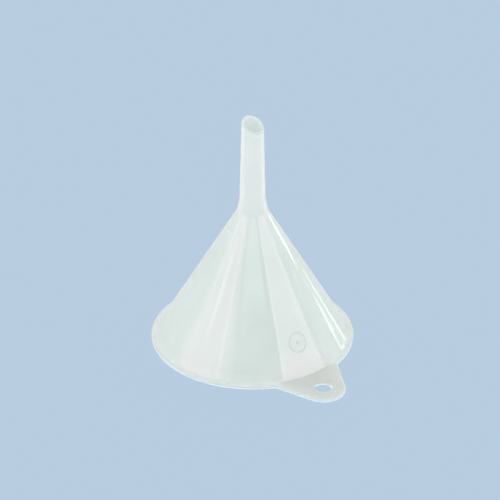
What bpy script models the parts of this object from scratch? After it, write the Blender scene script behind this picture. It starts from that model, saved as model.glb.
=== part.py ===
"""Conical filling funnel, moulded in natural polypropylene, standing on its rim.

Frame: metres, +Z up along the funnel's axis, from the mouth to the stem tip.
Origin: centre of the mouth, on the rim's bearing face.  -Y points to the hanging tab.

The real funnel is a single moulding.  It is modelled as five regions of that
moulding, which lie face to face: rim_flange, cone_wall, stem_shoulder,
stem_tube and hanging_tab.
"""

import math

import bmesh
import bpy
from mathutils import Matrix, Vector

MM = 0.001

# ---------------------------------------------------------------- driving sizes
RIM_RADIUS = 50.0 * MM          # outer radius of the flat rim flange
FLANGE_T = 1.6 * MM             # thickness of the flange and of the tab

CONE_HALF_ANGLE = math.radians(30.5)   # a nominal 60 degree funnel, with draft
CONE_APEX_Z = 82.08 * MM        # where the cone's outer surface would meet the axis
CONE_WALL = 1.5 * MM            # wall thickness, square to the surface
CONE_TOP_Z = 69.6 * MM          # where the cone stops and the shoulder starts

SHOULDER_TOP_Z = 75.8 * MM      # where the shoulder ends and the stem starts
STEM_ROOT_RADIUS = 6.19 * MM    # outer radius of the stem at its root
STEM_TAPER = 0.0253             # loss of radius per unit of height
STEM_WALL = 1.5 * MM           # radial wall of the stem
NECK_BLEND_Z = 71.2 * MM        # inside, the cone runs on a little into the shoulder
NECK_BLEND_RADIUS = 5.1 * MM

BEVEL_CENTRE_Z = 114.05 * MM    # height of the slanted cut on the axis
BEVEL_TILT = math.radians(28.8)  # the cut falls towards the tab's side

TAB_HOLE_OFFSET = 60.0 * MM     # axis to hanging hole
TAB_HOLE_RADIUS = 4.0 * MM
TAB_TIP_RADIUS = 10.8 * MM      # rounded end, about the hole's centre
TAB_FLARE = math.radians(24.5)  # each side of the tab leans out by this angle
TAB_FILLET = 3.4 * MM           # where the tab's sides run into the rim

SEGMENTS = 96                   # facets around every turned region


def cone_outer(z):
    return (CONE_APEX_Z - z) * math.tan(CONE_HALF_ANGLE)


def cone_inner(z):
    return cone_outer(z) - CONE_WALL / math.cos(CONE_HALF_ANGLE)


def stem_outer(z):
    return STEM_ROOT_RADIUS - STEM_TAPER * (z - SHOULDER_TOP_Z)


def stem_inner(z):
    return stem_outer(z) - STEM_WALL


# ---------------------------------------------------------------- clean scene
for old in list(bpy.data.objects):
    bpy.data.objects.remove(old, do_unlink=True)


def collection(name):
    made = bpy.data.collections.new(name)
    bpy.context.scene.collection.children.link(made)
    return made


FUNNEL = collection("conical_filling_funnel")
CUTTERS = collection("cutters")


def plastic(name, colour, roughness):
    """Natural, unpigmented polypropylene: milky and a little translucent."""
    mat = bpy.data.materials.new(name)
    mat.use_nodes = True
    shader = mat.node_tree.nodes["Principled BSDF"]
    shader.inputs["Base Color"].default_value = (*colour, 1.0)
    shader.inputs["Roughness"].default_value = roughness
    shader.inputs["Metallic"].default_value = 0.0
    shader.inputs["IOR"].default_value = 1.49
    shader.inputs["Subsurface Weight"].default_value = 0.3
    shader.inputs["Subsurface Scale"].default_value = 0.004
    mat.diffuse_color = (*colour, 1.0)
    return mat


def smooth(mesh):
    mesh.shade_smooth()
    mesh.set_sharp_from_angle(angle=math.radians(30))


def turned(name, section, material):
    """A ring turned about the Z axis from a closed section in the XZ plane.

    The section starts at the top of the outer side and runs down it, then
    comes back up the inner side."""
    bm = bmesh.new()
    verts = [bm.verts.new((r, 0.0, z)) for r, z in section]
    for a, b in zip(verts, verts[1:] + verts[:1]):
        bm.edges.new((a, b))
    mesh = bpy.data.meshes.new(name)
    bm.to_mesh(mesh)
    bm.free()
    mesh.materials.append(material)
    obj = bpy.data.objects.new(name, mesh)
    FUNNEL.objects.link(obj)
    screw = obj.modifiers.new("turn", "SCREW")
    screw.axis = "Z"
    screw.angle = math.tau
    screw.steps = SEGMENTS
    screw.render_steps = SEGMENTS
    screw.use_smooth_shade = True
    screw.use_merge_vertices = True
    screw.merge_threshold = 0.00001
    return obj


# ---------------------------------------------------------------- turned regions
rim_flange = turned(
    "rim_flange",
    [
        (RIM_RADIUS, FLANGE_T),
        (RIM_RADIUS, 0.0),
        (cone_inner(0.0), 0.0),
        (cone_inner(FLANGE_T), FLANGE_T),
    ],
    plastic("rim_flange", (0.80, 0.85, 0.85), 0.32),
)

cone_wall = turned(
    "cone_wall",
    [
        (cone_outer(CONE_TOP_Z), CONE_TOP_Z),
        (cone_outer(FLANGE_T), FLANGE_T),
        (cone_inner(FLANGE_T), FLANGE_T),
        (cone_inner(CONE_TOP_Z), CONE_TOP_Z),
    ],
    plastic("cone_wall", (0.82, 0.86, 0.84), 0.28),
)

stem_shoulder = turned(
    "stem_shoulder",
    [
        (STEM_ROOT_RADIUS, SHOULDER_TOP_Z),
        (cone_outer(CONE_TOP_Z), CONE_TOP_Z),
        (cone_inner(CONE_TOP_Z), CONE_TOP_Z),
        (NECK_BLEND_RADIUS, NECK_BLEND_Z),
        (stem_inner(SHOULDER_TOP_Z), SHOULDER_TOP_Z),
    ],
    plastic("stem_shoulder", (0.82, 0.86, 0.84), 0.28),
)

STEM_BLANK_TOP = BEVEL_CENTRE_Z + 12.0 * MM    # left long, then cut on the slant
stem_tube = turned(
    "stem_tube",
    [
        (stem_outer(STEM_BLANK_TOP), STEM_BLANK_TOP),
        (STEM_ROOT_RADIUS, SHOULDER_TOP_Z),
        (stem_inner(SHOULDER_TOP_Z), SHOULDER_TOP_Z),
        (stem_inner(STEM_BLANK_TOP), STEM_BLANK_TOP),
    ],
    plastic("stem_tube", (0.81, 0.86, 0.84), 0.28),
)

# The slanted cut: a block whose lower face is the plane of the cut.
BLOCK = 60.0 * MM
bpy.ops.mesh.primitive_cube_add(size=BLOCK)
bevel_block = bpy.context.active_object
bevel_block.name = "bevel_block"
for used in list(bevel_block.users_collection):
    used.objects.unlink(bevel_block)
CUTTERS.objects.link(bevel_block)
bevel_block.rotation_euler = (BEVEL_TILT, 0.0, 0.0)
lift = Matrix.Rotation(BEVEL_TILT, 3, "X") @ Vector((0.0, 0.0, BLOCK / 2))
bevel_block.location = Vector((0.0, 0.0, BEVEL_CENTRE_Z)) + lift
bevel_block.hide_render = True
bevel_block.display_type = "WIRE"

cut = stem_tube.modifiers.new("slanted_tip", "BOOLEAN")
cut.operation = "DIFFERENCE"
cut.solver = "EXACT"
cut.object = bevel_block


# ---------------------------------------------------------------- hanging tab
def tab_right_side():
    """The tab's right-hand edge in plan, from the rim to its rounded end.

    The side is a straight line that leans out by TAB_FLARE and touches the
    rounded end.  A concave fillet joins it to the rim's circle."""
    out = Vector((math.cos(TAB_FLARE), -math.sin(TAB_FLARE)))    # square to the side
    along = Vector((math.sin(TAB_FLARE), math.cos(TAB_FLARE)))   # up it, to the rim
    hole = Vector((0.0, -TAB_HOLE_OFFSET))
    reach = out.dot(hole) + TAB_TIP_RADIUS + TAB_FILLET
    span = RIM_RADIUS + TAB_FILLET
    centre = reach * out - math.sqrt(span**2 - reach**2) * along
    on_rim = centre * (RIM_RADIUS / span)
    on_side = centre - TAB_FILLET * out
    start = math.atan2(*(on_rim - centre).yx)
    stop = math.atan2(*(on_side - centre).yx)
    if stop < start:
        stop += math.tau
    if stop - start > math.pi:
        stop -= math.tau
    steps = 8
    fillet = [
        centre
        + TAB_FILLET * Vector((math.cos(a), math.sin(a)))
        for a in (start + (stop - start) * i / steps for i in range(steps + 1))
    ]
    return fillet, hole


def tab_outline():
    fillet, hole = tab_right_side()
    facet = math.tau / SEGMENTS
    # The root follows the rim's own facets, so the two lie face to face.
    edge = math.atan2(fillet[0].x, -fillet[0].y)
    whole = int(edge / facet)
    sag = math.cos(facet / 2)
    root = [
        RIM_RADIUS * Vector((math.sin(facet * k), -math.cos(facet * k)))
        for k in range(-whole, whole + 1)
    ]
    # Where the fillet starts, on the chord of the rim's facet.
    off = edge - facet * (whole + 0.5)
    start = RIM_RADIUS * sag / math.cos(off)
    first = start * Vector((math.sin(edge), -math.cos(edge)))
    right = [first] + fillet[1:]
    steps = 28
    lean = TAB_FLARE
    tip = [
        hole + TAB_TIP_RADIUS * Vector((math.cos(a), math.sin(a)))
        for a in (
            -lean - (math.pi - 2 * lean) * i / steps for i in range(steps + 1)
        )
    ]
    left = [Vector((-p.x, p.y)) for p in reversed(right)]
    return right + tip + left + root


def flat_plate(name, loops, thickness, material):
    """Flat outlines, the first one outside and the others holes, made solid."""
    data = bpy.data.curves.new(name + "_outline", "CURVE")
    data.dimensions = "2D"
    data.fill_mode = "BOTH"
    data.extrude = thickness / 2
    for points in loops:
        spline = data.splines.new("POLY")
        spline.points.add(len(points) - 1)
        for slot, p in zip(spline.points, points):
            slot.co = (p.x, p.y, 0.0, 1.0)
        spline.use_cyclic_u = True
    outline = bpy.data.objects.new(name + "_outline", data)
    FUNNEL.objects.link(outline)
    outline.location = (0.0, 0.0, thickness / 2)
    bpy.context.view_layer.update()
    evaluated = outline.evaluated_get(bpy.context.evaluated_depsgraph_get())
    mesh = bpy.data.meshes.new_from_object(evaluated)
    bm = bmesh.new()
    bm.from_mesh(mesh)
    bmesh.ops.remove_doubles(bm, verts=bm.verts, dist=0.000002)
    bmesh.ops.recalc_face_normals(bm, faces=bm.faces)
    bm.to_mesh(mesh)
    bm.free()
    mesh.name = name
    mesh.materials.clear()
    mesh.materials.append(material)
    smooth(mesh)
    plate = bpy.data.objects.new(name, mesh)
    FUNNEL.objects.link(plate)
    plate.matrix_world = outline.matrix_world.copy()
    bpy.data.objects.remove(outline, do_unlink=True)
    bpy.data.curves.remove(data)
    return plate


HOLE_STEPS = 32
hole_loop = [
    Vector(
        (
            TAB_HOLE_RADIUS * math.sin(math.tau * i / HOLE_STEPS),
            TAB_HOLE_RADIUS * math.cos(math.tau * i / HOLE_STEPS) - TAB_HOLE_OFFSET,
        )
    )
    for i in range(HOLE_STEPS)
]
hanging_tab = flat_plate(
    "hanging_tab",
    [tab_outline(), hole_loop],
    FLANGE_T,
    plastic("hanging_tab", (0.78, 0.80, 0.77), 0.36),
)
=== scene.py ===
"""Looks of the conical filling funnel: one milky polypropylene moulding, built as fine
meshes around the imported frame, with studio lights and the camera."""
import math

import bmesh
import bpy
import numpy as np
from mathutils import Matrix, Vector


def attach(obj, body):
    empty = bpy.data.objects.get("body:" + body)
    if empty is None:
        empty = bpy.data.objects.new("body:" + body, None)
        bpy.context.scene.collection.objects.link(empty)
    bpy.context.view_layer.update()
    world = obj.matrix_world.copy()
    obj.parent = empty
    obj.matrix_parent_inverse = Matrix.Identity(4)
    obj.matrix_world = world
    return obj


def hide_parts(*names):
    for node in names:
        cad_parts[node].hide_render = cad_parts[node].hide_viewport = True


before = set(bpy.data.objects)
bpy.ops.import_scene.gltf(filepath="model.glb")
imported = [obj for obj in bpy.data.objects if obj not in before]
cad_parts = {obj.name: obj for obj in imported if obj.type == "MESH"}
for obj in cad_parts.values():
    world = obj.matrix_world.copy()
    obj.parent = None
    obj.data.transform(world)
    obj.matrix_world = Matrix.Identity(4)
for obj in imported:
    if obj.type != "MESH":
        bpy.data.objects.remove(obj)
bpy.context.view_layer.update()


MM = 0.001

# ------------------------------------------------------------------ sizes (mm)
T = 1.6                        # flange and tab
RIM_R = 49.99                  # outer radius of the flange
HALF = math.radians(30.5)      # the cone's half angle
APEX = 82.08
WALL = 1.5
CONE_TOP, SHOULDER_TOP = 69.6, 75.8
STEM_ROOT, STEM_TAPER, STEM_WALL = 6.19, 0.0253, 1.5
BEVEL_Z, BEVEL = 114.03, math.radians(28.8)
HOLE_Y, HOLE_R = 60.0, 4.0
TAB_TIP, FLARE, TAB_FILLET = 10.78, math.radians(24.5), 3.4
MARK_Z, MARK_RING, MARK_STROKE, MARK_HIGH = 15.4, 4.55, 0.75, 0.22

STEM_BASE_Z = SHOULDER_TOP


def cone_out(z):
    return (APEX - z) * math.tan(HALF)


def cone_in(z):
    return cone_out(z) - WALL / math.cos(HALF)


def stem_out(z):
    return STEM_ROOT - STEM_TAPER * (z - SHOULDER_TOP)


def stem_in(z):
    return stem_out(z) - STEM_WALL


def lerp(a, b, t):
    return a + (b - a) * t


def bezier(a, b, c, t):
    return (1 - t) ** 2 * a + 2 * t * (1 - t) * b + t**2 * c


# ------------------------------------------------------------------ plan outline
def tab_edge(count):
    """The tab's free edge in plan, from its left fillet round the tip to its right one.

    Gives count + 1 points at even spacing and the outward normal at each."""
    n = np.array([math.cos(FLARE), -math.sin(FLARE)])
    d = np.array([math.sin(FLARE), math.cos(FLARE)])
    hole = np.array([0.0, -HOLE_Y])
    reach = n @ hole + TAB_TIP + TAB_FILLET
    span = RIM_R + TAB_FILLET
    centre = reach * n - math.sqrt(span**2 - reach**2) * d
    on_rim = centre * RIM_R / span
    on_side = centre - TAB_FILLET * n
    on_tip = hole + TAB_TIP * n
    a0 = math.atan2(*(on_rim - centre)[::-1])
    a1 = math.atan2(*(on_side - centre)[::-1])
    if a1 - a0 > math.pi:
        a1 -= math.tau
    if a0 - a1 > math.pi:
        a1 += math.tau
    fillet_len = abs(a1 - a0) * TAB_FILLET
    side_len = float(np.linalg.norm(on_tip - on_side))
    tip_half = math.pi / 2 - FLARE
    tip_len = tip_half * TAB_TIP
    half = fillet_len + side_len + tip_len
    # evened over the three stretches, so that no spacing jumps
    out_p, out_n = [], []
    for i in range(count + 1):
        s = (i / count * 2 - 1) * half
        right = s >= 0
        u = half - abs(s)                     # distance from the rim, along the edge
        if u < fillet_len:
            a = lerp(a0, a1, u / fillet_len)
            e = np.array([math.cos(a), math.sin(a)])
            p, q = centre + TAB_FILLET * e, -e
        elif u < fillet_len + side_len:
            f = (u - fillet_len) / side_len
            p, q = lerp(on_side, on_tip, f), n
        else:
            f = (u - fillet_len - side_len) / TAB_TIP
            a = -FLARE - f
            q = np.array([math.cos(a), math.sin(a)])
            p = hole + TAB_TIP * q
        if not right:
            p, q = p * [-1, 1], q * [-1, 1]
        out_p.append(p)
        out_n.append(q)
    edge_angle = math.atan2(on_rim[0], -on_rim[1])
    return np.array(out_p), np.array(out_n), edge_angle


TAB_COLUMNS = 184
EDGE_P, EDGE_N, TAB_HALF_ANGLE = tab_edge(TAB_COLUMNS)
REST_COLUMNS = 216

# Columns run anticlockwise seen from above: first the tab's, from its left (-X) to its
# right (+X) side, then round the rest of the rim.  phi is measured from -Y to +X.
phi_tab = np.linspace(-TAB_HALF_ANGLE, TAB_HALF_ANGLE, TAB_COLUMNS + 1)
phi_rest = np.linspace(TAB_HALF_ANGLE, math.tau - TAB_HALF_ANGLE, REST_COLUMNS + 1)[1:-1]
phi = np.concatenate([phi_tab, phi_rest])
dirs = np.stack([np.sin(phi), -np.cos(phi)], 1)
rest_dirs = dirs[TAB_COLUMNS + 1:]
rim_p = np.concatenate([EDGE_P, rest_dirs * RIM_R])
rim_n = np.concatenate([EDGE_N, rest_dirs])
COLS = len(phi)


# ------------------------------------------------------------------ rows of the section
class Grid:
    """A turned surface as rows of points, one point for each column."""

    def __init__(self):
        self.rows, self.tags = [], []

    def add(self, xy, z, tag):
        z = np.broadcast_to(np.asarray(z, float), (COLS,))
        self.rows.append(np.column_stack([xy, z]))
        self.tags.append(tag)

    def ring(self, r, z, tag):
        r = np.broadcast_to(np.asarray(r, float), (COLS,))
        self.add(dirs * r[:, None], z, tag)


def plate_rows(grid):
    """Flange and tab: from the mouth's inner edge, under, round the free edge, over to
    the cone's foot."""
    low, high = 0.45, 0.62                    # edge roundings, under and over
    inner_low = 0.4
    # mouth's inner edge
    for k in range(4):
        t = k / 4
        a = np.array([cone_in(inner_low * 1.4), inner_low * 1.4])
        b = np.array([cone_in(0.0), 0.0])
        c = np.array([cone_in(0.0) + inner_low, 0.0])
        r, z = bezier(a, b, c, t)
        grid.ring(r, z, "plate")
    start = dirs * (cone_in(0.0) + inner_low)
    stop = rim_p - rim_n * (low + 0.3)
    for t in (0.0, 0.02, 0.06, 0.14, 0.26, 0.38, 0.5, 0.62, 0.74, 0.86, 0.94, 1.0):
        grid.add(lerp(start, stop, t), 0.0, "plate")
    for k in range(6):
        a = math.pi / 2 * k / 5
        grid.add(rim_p - rim_n * low * (1 - math.sin(a)), low * (1 - math.cos(a)), "plate")
    for k in range(7):
        a = math.pi / 2 * k / 6
        grid.add(rim_p - rim_n * high * (1 - math.cos(a)), T - high * (1 - math.sin(a)), "plate")
    start = rim_p - rim_n * (high + 0.3)
    stop = dirs * (cone_out(T) + FOOT)
    for t in (0.0, 0.04, 0.1, 0.18, 0.28, 0.4, 0.52, 0.64, 0.76, 0.87, 0.95, 1.0):
        grid.add(lerp(start, stop, t), T, "plate")


FOOT = 0.7                                    # fillet between the flange and the cone


def mark_height(z):
    """How far the raised mark stands proud at this height, for each column: a plain ring
    with a small round pip, no lettering."""
    away = (phi + math.pi) % math.tau - math.pi
    u = away * cone_out(z)
    v = (z - MARK_Z) / math.cos(HALF)
    rho = np.hypot(u, v)
    soft = 0.17

    def bump(dist, half):
        t = np.clip((half + soft - dist) / (2 * soft), 0, 1)
        return t * t * (3 - 2 * t)

    ring = bump(np.abs(rho - MARK_RING), MARK_STROKE / 2)
    pip = bump(rho, 0.85)
    return MARK_HIGH * np.maximum(ring, pip)


def cone_rows(grid):
    a = np.array([cone_out(T) + FOOT, T])
    b = np.array([cone_out(T), T])
    zc = T + FOOT * math.cos(HALF)
    c = np.array([cone_out(zc), zc])
    for k in range(1, 6):
        r, z = bezier(a, b, c, k / 5)
        grid.ring(r, z, "cone")
    reach = MARK_RING + MARK_STROKE
    lo, hi = MARK_Z - reach * math.cos(HALF) * 1.04, MARK_Z + reach * math.cos(HALF) * 1.04
    for z in np.linspace(zc, lo, 7)[1:-1]:
        grid.ring(cone_out(z), z, "cone")
    for z in np.linspace(lo, hi, 62):
        h = mark_height(z)
        grid.ring(cone_out(z) + h * math.cos(HALF), z + h * math.sin(HALF), "cone")
    bend = 1.3
    top = np.array([cone_out(CONE_TOP - bend * math.cos(HALF)), CONE_TOP - bend * math.cos(HALF)])
    for z in np.linspace(hi, top[1], 26)[1:]:
        grid.ring(cone_out(z), z, "cone")
    return top


def shoulder_rows(grid, start):
    foot = np.array([cone_out(CONE_TOP), CONE_TOP])
    head = np.array([STEM_ROOT, SHOULDER_TOP])
    along = (head - foot) / np.linalg.norm(head - foot)
    first = foot + along * 1.3
    for k in range(1, 6):
        r, z = bezier(start, foot, first, k / 5)
        grid.ring(r, z, "shoulder")
    last = head - along * 1.9
    for t in (0.33, 0.66, 1.0):
        r, z = lerp(first, last, t)
        grid.ring(r, z, "shoulder")
    up = np.array([stem_out(SHOULDER_TOP + 1.9), SHOULDER_TOP + 1.9])
    for k in range(1, 6):
        r, z = bezier(last, head, up, k / 5)
        grid.ring(r, z, "stem" if z > SHOULDER_TOP else "shoulder")
    return up


def bevel_z(radius_at):
    """Height of the slanted cut where it meets a wall, for each column."""
    z = np.full(COLS, BEVEL_Z)
    for _ in range(24):
        z = BEVEL_Z + math.tan(BEVEL) * dirs[:, 1] * radius_at(z)
    return z


def stem_rows(grid, start_z):
    top_out = bevel_z(lambda z: STEM_ROOT - STEM_TAPER * (z - SHOULDER_TOP))
    top_in = bevel_z(lambda z: STEM_ROOT - STEM_WALL - STEM_TAPER * (z - SHOULDER_TOP))
    lip = 0.42                                 # rounding of the cut's edges
    below = top_out - lip
    for t in np.linspace(0, 1, 17)[1:]:
        z = lerp(start_z, below, t)
        grid.ring(stem_out(z), z, "stem")
    outer = np.column_stack([stem_out(top_out), top_out])
    inner = np.column_stack([stem_in(top_in), top_in])
    across = inner - outer
    across /= np.linalg.norm(across, axis=1)[:, None]
    a = np.column_stack([stem_out(below), below])
    c = outer + across * lip
    for k in range(1, 6):
        p = bezier(a, outer, c, k / 5)
        grid.ring(p[:, 0], p[:, 1], "stem")
    lip_in = 0.36
    a = inner - across * lip_in
    down = top_in - lip_in
    c = np.column_stack([stem_in(down), down])
    grid.ring(a[:, 0], a[:, 1], "stem")
    for k in range(1, 6):
        p = bezier(a, inner, c, k / 5)
        grid.ring(p[:, 0], p[:, 1], "stem")
    for t in np.linspace(0, 1, 15)[1:]:
        z = lerp(down, STEM_BASE_Z, t)
        grid.ring(stem_in(z), z, "stem")


def inner_rows(grid):
    for z in (74.0, 72.2):
        grid.ring(lerp(5.1, stem_in(SHOULDER_TOP), (z - 71.2) / (SHOULDER_TOP - 71.2)), z, "shoulder")
    a, b, c = np.array([5.07, 71.9]), np.array([5.1, 71.0]), np.array([cone_in(CONE_TOP), CONE_TOP])
    for k in range(0, 6):
        r, z = bezier(a, b, c, k / 5)
        grid.ring(r, z, "shoulder")
    for z in np.linspace(CONE_TOP, T, 26)[1:]:
        grid.ring(cone_in(z), z, "cone")
    for z in (1.2, 0.85):
        grid.ring(cone_in(z), z, "plate")


grid = Grid()
plate_rows(grid)
cone_end = cone_rows(grid)
stem_start = shoulder_rows(grid, cone_end)
stem_rows(grid, stem_start[1])
inner_rows(grid)
ROWS = len(grid.rows)
points = np.stack(grid.rows) * MM              # rows, columns, 3


def structured(name, pts):
    rows, cols, _ = pts.shape
    index = np.arange(rows * cols).reshape(rows, cols)
    nxt = np.roll(index, -1, axis=1)
    up = np.roll(index, -1, axis=0)
    both = np.roll(up, -1, axis=1)
    quads = np.stack([index, nxt, both, up], -1).reshape(-1, 4)
    mesh = bpy.data.meshes.new(name)
    mesh.from_pydata(pts.reshape(-1, 3).tolist(), [], quads.tolist())
    mesh.update()
    obj = bpy.data.objects.new(name, mesh)
    bpy.context.scene.collection.objects.link(obj)
    return obj


moulding = structured("funnel_moulding", points)


def signed_volume(mesh):
    bm = bmesh.new()
    bm.from_mesh(mesh)
    v = bm.calc_volume(signed=True)
    bm.free()
    return v


if signed_volume(moulding.data) < 0:
    moulding.data.flip_normals()


# ------------------------------------------------------------------ hanging hole
def spool(name):
    """Cutter for the hanging hole: straight in the middle, flared at both faces, so that
    it leaves rounded edges."""
    e = 0.4
    section = [(HOLE_R + 1.4, T + 1.5)]
    section = []
    stop = math.radians(82)
    for k in range(7):
        a = stop * (1 - k / 6)
        section.append((HOLE_R + e * (1 - math.cos(a)), T - e + e * math.sin(a)))
    section.insert(0, (section[0][0], T + 1.5))
    for k in range(7):
        a = stop * k / 6
        section.append((HOLE_R + e * (1 - math.cos(a)), e - e * math.sin(a)))
    section.append((section[-1][0], -1.5))
    steps = 96
    verts, faces = [], []
    for k in range(steps):
        a = math.tau * k / steps
        for r, z in section:
            verts.append((r * math.cos(a) * MM, (r * math.sin(a) - HOLE_Y) * MM, z * MM))
    m = len(section)
    for k in range(steps):
        j = (k + 1) % steps
        for i in range(m - 1):
            faces.append((k * m + i, k * m + i + 1, j * m + i + 1, j * m + i))
    faces.append([k * m for k in range(steps)])
    faces.append([k * m + m - 1 for k in reversed(range(steps))])
    mesh = bpy.data.meshes.new(name)
    mesh.from_pydata(verts, [], faces)
    obj = bpy.data.objects.new(name, mesh)
    bpy.context.scene.collection.objects.link(obj)
    if signed_volume(mesh) < 0:
        mesh.flip_normals()
    return obj


cutter = spool("hole_cutter")
cut = moulding.modifiers.new("hole", "BOOLEAN")
cut.operation = "DIFFERENCE"
cut.solver = "EXACT"
cut.object = cutter
bpy.context.view_layer.update()
evaluated = moulding.evaluated_get(bpy.context.evaluated_depsgraph_get())
finished = bpy.data.meshes.new_from_object(evaluated)
moulding.modifiers.clear()
old = moulding.data
moulding.data = finished
bpy.data.meshes.remove(old)
bpy.data.objects.remove(cutter, do_unlink=True)
finished.name = "funnel_moulding"


# ------------------------------------------------------------------ shading and masks
def outline_distance(xy):
    """Distance from plan points to the free edge of flange and tab, in mm."""
    fine_p, _, _ = tab_edge(600)
    away = np.linspace(TAB_HALF_ANGLE, math.tau - TAB_HALF_ANGLE, 1400)
    loop = np.concatenate([fine_p, np.stack([np.sin(away), -np.cos(away)], 1) * RIM_R])
    out = np.empty(len(xy))
    for i in range(0, len(xy), 2000):
        block = xy[i:i + 2000]
        out[i:i + 2000] = np.sqrt(((block[:, None] - loop[None]) ** 2).sum(-1)).min(1)
    return out


def finish_mesh(obj):
    mesh = obj.data
    count = len(mesh.vertices)
    co = np.empty(count * 3)
    mesh.vertices.foreach_get("co", co)
    co = co.reshape(-1, 3) / MM
    radial = np.hypot(co[:, 0], co[:, 1])
    plate = (co[:, 2] < T + 0.05) & (radial > cone_in(0.0) - 0.3)
    # mask for the painted highlight along the free edges of flange and tab
    edge = np.zeros(count)
    d = outline_distance(co[plate, :2])
    edge[plate] = np.clip(1 - (d - 0.25) / 0.9, 0, 1)
    around = np.abs(np.arctan2(co[:, 0], -co[:, 1]))
    # the tab's area, which gets the painted shade
    over = np.clip((TAB_HALF_ANGLE + 0.01 - around) / 0.15, 0, 1) * (co[:, 1] < 0)
    out = np.clip((radial - cone_out(T) - 0.25 * FOOT) / (0.6 * FOOT), 0, 1)
    tab_area = over * over * (3 - 2 * over) * out * (co[:, 2] < T + 0.3)
    # the bore, which gets painted light
    in_bore = radial < stem_in(co[:, 2]) + 0.25 * STEM_WALL
    bore = np.clip((co[:, 2] - 84.0) / 12.0, 0, 1) * in_bore
    # the lower cone beside the tab, which gets painted light
    beside = np.clip((TAB_HALF_ANGLE + 0.15 - around) / 0.32, 0, 1)
    low = np.clip((17.0 - co[:, 2]) / 13.0, 0, 1)
    painted_light_beside_tab = beside * beside * (3 - 2 * beside) * low * low * (3 - 2 * low)
    painted_light_beside_tab[radial < cone_out(co[:, 2]) - 0.5 * WALL] = 0.0
    # the lip of the slanted cut, which gets a painted highlight
    cut_plane = BEVEL_Z + math.tan(BEVEL) * co[:, 1]
    lip = np.clip(1 - (cut_plane - co[:, 2] - 0.15) / 0.5, 0, 1) * (co[:, 2] > 100)
    # how far in from the free edge, for the tab's painted shade
    depth = np.zeros(count)
    depth[plate] = np.clip((d - 1.0) / 7.5, 0, 1)
    for name, values in (("edge_highlight", edge), ("tab_area", tab_area), ("bore", bore),
                         ("depth", depth), ("lip", lip), ("painted_light_beside_tab", painted_light_beside_tab)):
        layer = mesh.attributes.new(name, "FLOAT", "POINT")
        layer.data.foreach_set("value", values.astype(np.float32))
    mesh.shade_smooth()
    flat = np.zeros(len(mesh.polygons), bool)
    for i, p in enumerate(mesh.polygons):
        z = [co[v, 2] for v in p.vertices]
        if (max(z) - min(z)) < 1e-4 and (abs(z[0] - T) < 1e-3 or abs(z[0]) < 1e-3):
            flat[i] = True
    mesh.polygons.foreach_set("use_smooth", ~flat)
    mesh.update()


finish_mesh(moulding)


# ------------------------------------------------------------------ material
class Tree:
    def __init__(self, mat):
        self.t = mat.node_tree
        self.n, self.l = self.t.nodes, self.t.links

    def node(self, kind, **kw):
        made = self.n.new(kind)
        for k, v in kw.items():
            setattr(made, k, v)
        return made

    def link(self, a, b):
        self.l.new(a, b)

    def math(self, op, a, b=None, clamp=False):
        m = self.node("ShaderNodeMath", operation=op, use_clamp=clamp)
        for slot, v in zip(m.inputs, (a, b)):
            if v is None:
                continue
            if isinstance(v, (int, float)):
                slot.default_value = v
            else:
                self.link(v, slot)
        return m.outputs[0]

    def remap(self, v, a, b, c, d, smooth=False):
        m = self.node("ShaderNodeMapRange")
        if smooth:
            m.interpolation_type = "SMOOTHSTEP"
        self.link(v, m.inputs["Value"])
        for key, val in (("From Min", a), ("From Max", b), ("To Min", c), ("To Max", d)):
            m.inputs[key].default_value = val
        return m.outputs["Result"]

    def mix(self, f, a, b, kind="MIX"):
        m = self.node("ShaderNodeMix", data_type="RGBA", blend_type=kind)
        for slot, v in ((m.inputs["Factor"], f), (m.inputs["A"], a), (m.inputs["B"], b)):
            pass
        slots = {"f": m.inputs[0], "a": m.inputs[6], "b": m.inputs[7]}
        for key, v in (("f", f), ("a", a), ("b", b)):
            if isinstance(v, (int, float)):
                slots[key].default_value = v
            elif isinstance(v, tuple):
                slots[key].default_value = (*v, 1.0)
            else:
                self.link(v, slots[key])
        return m.outputs[2]


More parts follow.
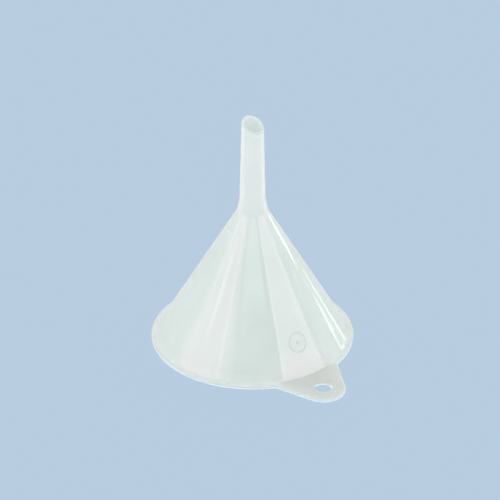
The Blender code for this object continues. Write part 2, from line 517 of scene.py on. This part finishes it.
def polypropylene(name):
    mat = bpy.data.materials.new(name)
    mat.use_nodes = True
    tr = Tree(mat)
    shader = tr.n["Principled BSDF"]
    coords = tr.node("ShaderNodeTexCoord").outputs["Object"]
    split = tr.node("ShaderNodeSeparateXYZ")
    tr.link(coords, split.inputs[0])
    x, y, z = split.outputs

    # round the axis: angle and height, for the flow lines left by moulding
    angle = tr.math("ARCTAN2", x, y)
    flow_uv = tr.node("ShaderNodeCombineXYZ")
    tr.link(tr.math("MULTIPLY", angle, 7.0), flow_uv.inputs[0])
    tr.link(tr.math("MULTIPLY", z, 18.0), flow_uv.inputs[1])
    flow = tr.node("ShaderNodeTexNoise")
    flow.inputs["Scale"].default_value = 1.0
    flow.inputs["Detail"].default_value = 3.0
    flow.inputs["Roughness"].default_value = 0.5
    tr.link(flow_uv.outputs[0], flow.inputs["Vector"])

    cloud = tr.node("ShaderNodeTexNoise")
    cloud.inputs["Scale"].default_value = 55.0
    cloud.inputs["Detail"].default_value = 4.0
    cloud.inputs["Roughness"].default_value = 0.55
    tr.link(coords, cloud.inputs["Vector"])

    fine = tr.node("ShaderNodeTexNoise")
    fine.inputs["Scale"].default_value = 1400.0
    fine.inputs["Detail"].default_value = 2.0
    tr.link(coords, fine.inputs["Vector"])

    orange = tr.node("ShaderNodeTexNoise")
    orange.inputs["Scale"].default_value = 260.0
    orange.inputs["Detail"].default_value = 2.0
    tr.link(coords, orange.inputs["Vector"])

    # plate: the flat flange and tab. The tab is painted greyer than the cone and darker away from its edges,
    # as painted shade for the lesser light its flat faces get
    low = tr.remap(z, 0.0014, 0.0022, 1.0, 0.0, smooth=True)
    tab = tr.node("ShaderNodeAttribute", attribute_name="tab_area").outputs["Fac"]

    # painted highlight: the free edges of flange and tab are lightened in colour, standing in for the light
    # their rounding catches
    edge = tr.node("ShaderNodeAttribute", attribute_name="edge_highlight").outputs["Fac"]
    dy = tr.math("ADD", y, HOLE_Y * MM)
    hole = tr.math("SQRT", tr.math("ADD", tr.math("MULTIPLY", x, x), tr.math("MULTIPLY", dy, dy)))
    at_hole = tr.remap(hole, 0.0042, 0.0046, 1.0, 0.0, smooth=True)
    # painted highlight: a pale cyan rim on the tab's upper face along the near side of the hanging hole
    hole_lip_highlight = tr.math("MULTIPLY", tr.remap(hole, 0.0043, 0.0051, 1.0, 0.0, smooth=True),
                       tr.math("MULTIPLY", tr.remap(z, 0.0010, 0.0014, 0.0, 1.0, smooth=True),
                               tr.remap(dy, -0.0015, 0.0005, 1.0, 0.0, smooth=True)))
    hole_lip_highlight = tr.math("MULTIPLY", hole_lip_highlight, low)

    cone_colour = tr.mix(
        tr.remap(cloud.outputs["Fac"], 0.3, 0.7, 0.0, 1.0),
        (0.790, 0.862, 0.850),
        (0.820, 0.885, 0.876),
    )
    flow_and_painted_light = tr.mix(
        tr.remap(flow.outputs["Fac"], 0.35, 0.7, 0.0, 0.5),
        cone_colour,
        (0.838, 0.880, 0.876),
    )
    # painted light: lighter towards the stem, standing in for the light its thin wall lets through
    flow_and_painted_light = tr.mix(
        tr.remap(z, 0.045, 0.082, 0.0, 1.0, smooth=True), flow_and_painted_light, (0.895, 0.998, 0.955)
    )
    depth = tr.node("ShaderNodeAttribute", attribute_name="depth").outputs["Fac"]
    # painted shade: darker just below the tip, where the bore's shade shows through the wall
    flow_and_painted_light = tr.mix(
        tr.remap(z, 0.100, 0.112, 0.0, 1.0, smooth=True), flow_and_painted_light, (0.815, 0.930, 0.865)
    )
    # painted shade: the tab is greyer than the cone and darker away from its edges
    tab_painted_shade = tr.mix(
        tr.math("ADD", tr.math("MULTIPLY", depth, 0.75),
                tr.remap(cloud.outputs["Fac"], 0.3, 0.7, 0.0, 0.25)),
        (0.828, 0.850, 0.838),
        (0.752, 0.766, 0.762),
    )
    # painted light: the cone's foot, its fillet and the wall just above are lightened, standing in for the
    # light from below that the flange blocks there
    foot = tr.mix(tr.remap(z, 0.0017, 0.0065, 0.75, 0.0, smooth=True), flow_and_painted_light, (0.885, 0.955, 0.935))
    # painted light: the lower cone beside the tab is lightened, standing in for the light from below that
    # the tab shades off
    painted_light_beside_tab = tr.node("ShaderNodeAttribute", attribute_name="painted_light_beside_tab").outputs["Fac"]
    foot = tr.mix(painted_light_beside_tab, foot, (0.895, 0.962, 0.950))
    body = tr.mix(tab, foot, tab_painted_shade)
    # a cut edge: a painted highlight along its upper corner, and on its side a deeper blue-grey as painted
    # shade and painted reflection of the blue backdrop
    side = tr.mix(tr.remap(z, 0.0009, 0.0015, 0.0, 1.0, smooth=True),
                  (0.635, 0.725, 0.775), (0.865, 0.930, 0.935))
    rim = tr.mix(edge, body, side)
    # painted shade: the hanging hole's wall is set a darker blue-grey, standing in for its shade and the
    # blue backdrop reflected in it
    wall = tr.mix(tr.remap(z, 0.0003, 0.0010, 0.0, 1.0, smooth=True),
                  (0.62, 0.72, 0.79), (0.66, 0.71, 0.70))
    holed = tr.mix(tr.math("MULTIPLY", at_hole, tr.remap(z, 0.00155, 0.00145, 0.0, 1.0)), rim, wall)
    # painted light: the bore's inside is lightened in colour
    bore = tr.node("ShaderNodeAttribute", attribute_name="bore").outputs["Fac"]
    bored = tr.mix(bore, holed, (0.918, 0.953, 0.943))
    # the painted highlight at the hole's near lip
    colour = tr.mix(hole_lip_highlight, bored, (0.93, 1.0, 1.0))
    tr.link(colour, shader.inputs["Base Color"])

    rough = tr.math("ADD", tr.remap(cloud.outputs["Fac"], 0.3, 0.7, 0.045, 0.065),
                    tr.remap(fine.outputs["Fac"], 0.3, 0.7, -0.005, 0.01))
    tr.link(rough, shader.inputs["Roughness"])

    bump = tr.node("ShaderNodeBump")
    bump.inputs["Strength"].default_value = 0.35
    bump.inputs["Distance"].default_value = 0.00012
    height = tr.math("ADD", tr.math("MULTIPLY", orange.outputs["Fac"], 0.6),
                     tr.math("ADD", tr.math("MULTIPLY", fine.outputs["Fac"], 0.12),
                             tr.math("MULTIPLY", flow.outputs["Fac"], 0.5)))
    tr.link(height, bump.inputs["Height"])
    tr.link(bump.outputs[0], shader.inputs["Normal"])

    # painted light: the bore glows by emission and is lightened in colour, standing in for light that has
    # come through the stem's wall
    # painted highlight: the slanted cut's lip glows pale blue by emission
    lip = tr.node("ShaderNodeAttribute", attribute_name="lip").outputs["Fac"]
    glow = tr.mix(bore, (0.0, 0.0, 0.0), (0.067, 0.076, 0.073))
    tr.link(tr.mix(lip, glow, (0.033, 0.081, 0.102)), shader.inputs["Emission Color"])
    shader.inputs["Emission Strength"].default_value = 1.0

    shader.inputs["IOR"].default_value = 1.49
    shader.inputs["Metallic"].default_value = 0.0
    tr.link(tr.remap(z, 0.070, 0.085, 0.7, 0.85, smooth=True), shader.inputs["Subsurface Weight"])
    shader.inputs["Subsurface Radius"].default_value = (1.0, 1.0, 0.85)
    shader.inputs["Subsurface Scale"].default_value = 0.0022
    return mat


natural_pp = polypropylene("natural_polypropylene")
moulding.data.materials.clear()
moulding.data.materials.append(natural_pp)

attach(moulding, "root")
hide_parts("cone_wall", "hanging_tab", "rim_flange", "stem_shoulder", "stem_tube")

# ------------------------------------------------------------------ stage
CAMERA_AZIMUTH = math.radians(-33.5)          # the hanging tab is to the right of the middle
CAMERA_PITCH = math.radians(29.32)
CAMERA_DISTANCE = 0.850
AIM_Z = 0.04745
SIDE_STEP = -0.00121                           # the funnel stands a little right of centre

right = Vector((math.cos(CAMERA_AZIMUTH), math.sin(CAMERA_AZIMUTH), 0.0))
ahead = Vector((-math.sin(CAMERA_AZIMUTH), math.cos(CAMERA_AZIMUTH), 0.0))
up = Vector((0.0, 0.0, 1.0))


def place(r, a, u):
    """A point given as right, ahead and up of the camera's heading."""
    return right * r + ahead * a + up * u


look = ahead * math.cos(CAMERA_PITCH) - up * math.sin(CAMERA_PITCH)
target = Vector((0.0, 0.0, AIM_Z)) + right * SIDE_STEP
cam_data = bpy.data.cameras.new("camera")
cam_data.sensor_width = 36.0
cam_data.lens = 1760.4 / 500.0 * 36.0
cam_data.clip_start = 0.01
cam_data.clip_end = 50.0
cam = bpy.data.objects.new("camera", cam_data)
bpy.context.scene.collection.objects.link(cam)
cam.location = target - look * CAMERA_DISTANCE
cam.rotation_euler = look.to_track_quat("-Z", "Y").to_euler()
bpy.context.scene.camera = cam

BLUE = (0.474, 0.604, 0.737)
FILL_COLOUR = (0.97, 1.0, 0.995)
FILL_MEAN, FILL_UP, FILL_POLES, FILL_AHEAD = 0.762, -0.80, 0.95, 0.08
LEAN, LEAN_LINE = -25.6, -55.0
MIRROR_COLOUR, MIRROR_NEAR, MIRROR_FAR = (1.0, 0.99, 1.02), 0.16, 1.13

floor_mesh = bpy.data.meshes.new("floor")
bm = bmesh.new()
bmesh.ops.create_grid(bm, x_segments=1, y_segments=1, size=12.0)
bm.to_mesh(floor_mesh)
bm.free()
floor = bpy.data.objects.new("floor", floor_mesh)
floor.location = (0.0, 0.0, -0.0002)
bpy.context.scene.collection.objects.link(floor)
floor_mat = bpy.data.materials.new("pale_floor")
floor_mat.use_nodes = True
ft = Tree(floor_mat)
for n in list(ft.n):
    ft.n.remove(n)
out = ft.node("ShaderNodeOutputMaterial")
glow = ft.node("ShaderNodeEmission")
glow.inputs["Color"].default_value = (*BLUE, 1.0)
glow.inputs["Strength"].default_value = 0.938
matte = ft.node("ShaderNodeBsdfDiffuse")
matte.inputs["Color"].default_value = (0.047, 0.060, 0.074, 1.0)
both = ft.node("ShaderNodeAddShader")
ft.link(glow.outputs[0], both.inputs[0])
ft.link(matte.outputs[0], both.inputs[1])
ft.link(both.outputs[0], out.inputs["Surface"])
floor.data.materials.append(floor_mat)
# the floor is only looked at: it neither lights nor hides the panels behind it
floor.visible_glossy = False
floor.visible_diffuse = False
floor.visible_transmission = False
floor.visible_shadow = False

# The room: plain blue behind the funnel, and round it a soft light that is stronger
# from below, as off a lit table, and a little stronger from above.
world = bpy.data.worlds.new("studio")
bpy.context.scene.world = world
world.use_nodes = True
world.cycles.sampling_method = "NONE"
wt = Tree(world)
for n in list(wt.n):
    wt.n.remove(n)
world_out = wt.node("ShaderNodeOutputWorld")
path = wt.node("ShaderNodeLightPath")


def room(colour, strength):
    b = wt.node("ShaderNodeBackground")
    b.inputs["Color"].default_value = (*colour, 1.0)
    if isinstance(strength, (int, float)):
        b.inputs["Strength"].default_value = strength
    else:
        wt.link(strength, b.inputs["Strength"])
    return b.outputs[0]


def along(direction):
    dot = wt.node("ShaderNodeVectorMath", operation="DOT_PRODUCT")
    wt.link(wt.node("ShaderNodeTexCoord").outputs["Generated"], dot.inputs[0])
    dot.inputs[1].default_value = direction
    return dot.outputs["Value"]


slope = along(up * FILL_UP + ahead * FILL_AHEAD)
height = along(up)
poles = wt.math("MULTIPLY", wt.math("MULTIPLY", height, height), FILL_POLES)
fill = room(FILL_COLOUR, wt.math("ADD", wt.math("ADD", slope, poles), FILL_MEAN))
# the gloss sees bright walls beside and behind the funnel, dim on the camera's side
back = along(ahead)
walls = wt.remap(back, -0.35, 0.25, MIRROR_NEAR, MIRROR_FAR, smooth=True)
mirror = room(MIRROR_COLOUR, wt.math("MULTIPLY", walls, wt.remap(back, 0.30, 0.70, 1.0, 0.68, smooth=True)))
seen = room(BLUE, 1.0)
mix_a = wt.node("ShaderNodeMixShader")
wt.link(path.outputs["Is Glossy Ray"], mix_a.inputs[0])
wt.link(fill, mix_a.inputs[1])
wt.link(mirror, mix_a.inputs[2])
mix_b = wt.node("ShaderNodeMixShader")
wt.link(path.outputs["Is Camera Ray"], mix_b.inputs[0])
wt.link(mix_a.outputs[0], mix_b.inputs[1])
wt.link(seen, mix_b.inputs[2])
wt.link(mix_b.outputs[0], world_out.inputs["Surface"])


def panel(name, azimuth, elevation, wide, high, distance, radiance, colour=(1.0, 1.0, 1.0),
          lean=0.0):
    """A softbox.  Its place and its size are given in degrees as seen from the middle of
    the funnel: azimuth from the camera's own side, positive to the right.  radiance is
    its own brightness, so its power follows its area."""
    az, el = math.radians(azimuth), math.radians(elevation)
    width = 2 * distance * math.tan(math.radians(wide) / 2)
    height = 2 * distance * math.tan(math.radians(high) / 2)
    data = bpy.data.lights.new(name, "AREA")
    data.shape = "RECTANGLE"
    data.size, data.size_y = width, height
    data.energy = radiance * math.pi * width * height
    data.color = colour
    obj = bpy.data.objects.new(name, data)
    bpy.context.scene.collection.objects.link(obj)
    obj.visible_camera = False
    obj.visible_diffuse = False               # the panels draw the gloss, the room gives the light
    obj.visible_transmission = False
    d = place(math.sin(az) * math.cos(el), -math.cos(az) * math.cos(el), math.sin(el))
    obj.location = Vector((0.0, 0.0, 0.04)) + d * distance
    q = (-d).to_track_quat("-Z", "Y") @ Matrix.Rotation(math.radians(lean), 3, "Z").to_quaternion()
    obj.rotation_euler = q.to_euler()
    return obj


WARM = (1.0, 0.72, 0.82)
WARM_LEFT = (1.0, 0.61, 0.70)
# the boxes fade out at their sides, as cloth-covered ones do: the right one a little,
# the left one more
for n, (start, stop, part) in enumerate((
        (34.9, 36.5, 0.30), (36.5, 38.1, 0.70), (38.1, 83.9, 1.00), (83.9, 85.5, 0.70), (85.5, 87.1, 0.30))):
    panel("box_right_%d" % n, (start + stop) / 2, 20.5, stop - start, 35.0, 1.25, 2.60 * part, WARM)
for n, (start, stop, part) in enumerate((
        (-97.0, -92.5, 0.20), (-92.5, -88.5, 0.45), (-88.5, -84.5, 0.75), (-84.5, -42.0, 1.00),
        (-42.0, -37.0, 0.84), (-37.0, -32.0, 0.68), (-32.0, -27.0, 0.48), (-27.0, -22.0, 0.24))):
    panel("box_left_%d" % n, (start + stop) / 2, 20.5, stop - start, 35.0, 1.25, 2.85 * part, WARM_LEFT)
panel("line_left", -65.7, 21.9, 2.6, 6.4, 6.0, 2.3, lean=LEAN_LINE)
panel("box_top", 2.0, 44.6, 40.0, 30.8, 1.3, 1.5, (0.97, 1.0, 1.0))
panel("streak_upper", 123.9, 3.3, 4.8, 4.6, 8.0, 7.4, lean=LEAN)
panel("streak_top", 126.6, 1.05, 9.6, 2.0, 8.0, 2.1, lean=LEAN)
panel("streak_right", 134.5, -7.5, 5.0, 4.3, 8.0, 1.5, lean=LEAN)
panel("streak_left", 122.0, -1.15, 6.8, 1.4, 8.0, 2.8, lean=LEAN * 0.4)
panel("streak_middle", 128.0, -4.3, 8.2, 2.9, 8.0, 0.32, lean=LEAN)

# a small soft spot that looks into the open tip, as an overhead lamp does
tip_data = bpy.data.lights.new("tip_spot", "SPOT")
tip_data.energy = 0.7
tip_data.spot_size = math.radians(2.6)
tip_data.spot_blend = 1.0
tip_data.shadow_soft_size = 0.06
tip_spot = bpy.data.objects.new("tip_spot", tip_data)
bpy.context.scene.collection.objects.link(tip_spot)
tip_spot.visible_camera = False
tip_spot.visible_glossy = False
tip_aim = place(0.0, 0.001, 0.1135)
tip_spot.location = tip_aim + place(-0.05, -0.42, 0.60)
tip_spot.rotation_euler = (tip_aim - tip_spot.location).to_track_quat("-Z", "Y").to_euler()

scene = bpy.context.scene
scene.view_settings.view_transform = "Standard"
scene.view_settings.look = "None"
scene.view_settings.exposure = 0.0
scene.view_settings.gamma = 1.0

# ------------------------------------------------------------------ update
bpy.context.view_layer.update()
